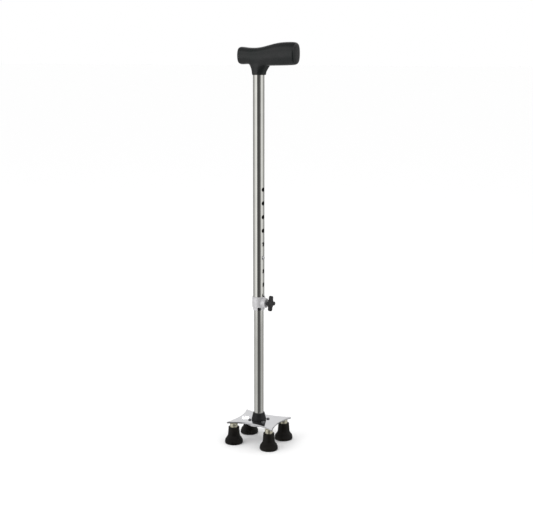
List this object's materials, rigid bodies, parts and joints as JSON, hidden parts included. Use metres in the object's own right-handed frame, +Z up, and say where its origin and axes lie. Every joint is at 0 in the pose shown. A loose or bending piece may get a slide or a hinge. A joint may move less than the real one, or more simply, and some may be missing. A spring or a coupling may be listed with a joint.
{
  "type": "quad walking cane",
  "caption": "Height-adjustable walking cane with a T handle, telescoping polished tubes, a clamp collar with star knob, and a square-footprint base plate on rubber feet.",
  "frame": {"origin": "on the floor, under the middle of the whole cane's box; the tubes' axis stands 10.9 mm towards -X", "axes": "+Z up along the tubes, +X along the handle's long end, towards the clamp knob; the button holes face 10 degrees from it, towards -Y"},
  "size_m": [0.1312, 0.097, 0.7505],
  "materials": {
    "handle_plastic": "moulded, satin black",
    "polished_tube": "polished",
    "cast_collar": "cast, satin",
    "base_metal": "polished",
    "leg_metal": "plated, warm",
    "button_chrome": "bright chrome",
    "steel": "zinc plated",
    "spring_steel": "tempered",
    "knob_plastic": "moulded black",
    "nylon": "moulded black nylon",
    "boot_rubber": "moulded, smooth",
    "foot_rubber": "moulded, dull"
  },
  "bodies": {
    "base": {"button_spring": "spring_steel", "lower_tube": "polished_tube", "lower_tube_plug": "nylon", "tube_boot": "boot_rubber", "base_plate": "base_metal", "tube_socket": "cast_collar", "socket_pin": "steel", "plate_screw_1": "steel", "plate_screw_2": "steel", "plate_screw_3": "steel", "plate_screw_4": "steel", "leg_post_1": "leg_metal", "leg_post_2": "leg_metal", "leg_post_3": "leg_metal", "leg_post_4": "leg_metal", "foot_washer_1": "steel", "foot_washer_2": "steel", "foot_washer_3": "steel", "foot_washer_4": "steel", "rubber_foot_1": "foot_rubber", "rubber_foot_2": "foot_rubber", "rubber_foot_3": "foot_rubber", "rubber_foot_4": "foot_rubber"},
    "upper": {"handle_grip": "handle_plastic", "tube_core": "nylon", "handle_screw": "steel", "upper_tube": "polished_tube", "clamp_collar": "cast_collar", "guide_bush": "nylon", "lock_nut": "steel"},
    "pad": {"pressure_pad": "nylon"},
    "knob": {"clamp_knob": "knob_plastic", "knob_stud": "steel"},
    "button": {"snap_button": "button_chrome"}
  },
  "joints": [
    {"name": "height_adjust", "type": "slide", "parent": "base", "child": "upper", "axis": [0, 0, 1], "range_m": [-0.1016, 0.0508]},
    {"name": "clamp_travel", "type": "slide", "parent": "upper", "child": "pad", "axis": [1, 0, 0], "range_m": [0, 0.00201]},
    {"name": "knob_turn", "type": "hinge", "parent": "pad", "child": "knob", "pos_m": [-0.0109, 0, 0.2732], "axis": [1, 0, 0], "range_deg": [0, 720]},
    {"name": "button_press", "type": "slide", "parent": "base", "child": "button", "axis": [-0.9848, 0.1736, 0], "range_m": [0, 0.0036], "stiffness_N_per_m": 1200, "springref_m": -0.002, "deforming": ["button_spring"]}
  ],
  "couplings": [
    {"joint": "clamp_travel", "follows": "knob_turn", "m_per_rad": 0.00015915}
  ]
}
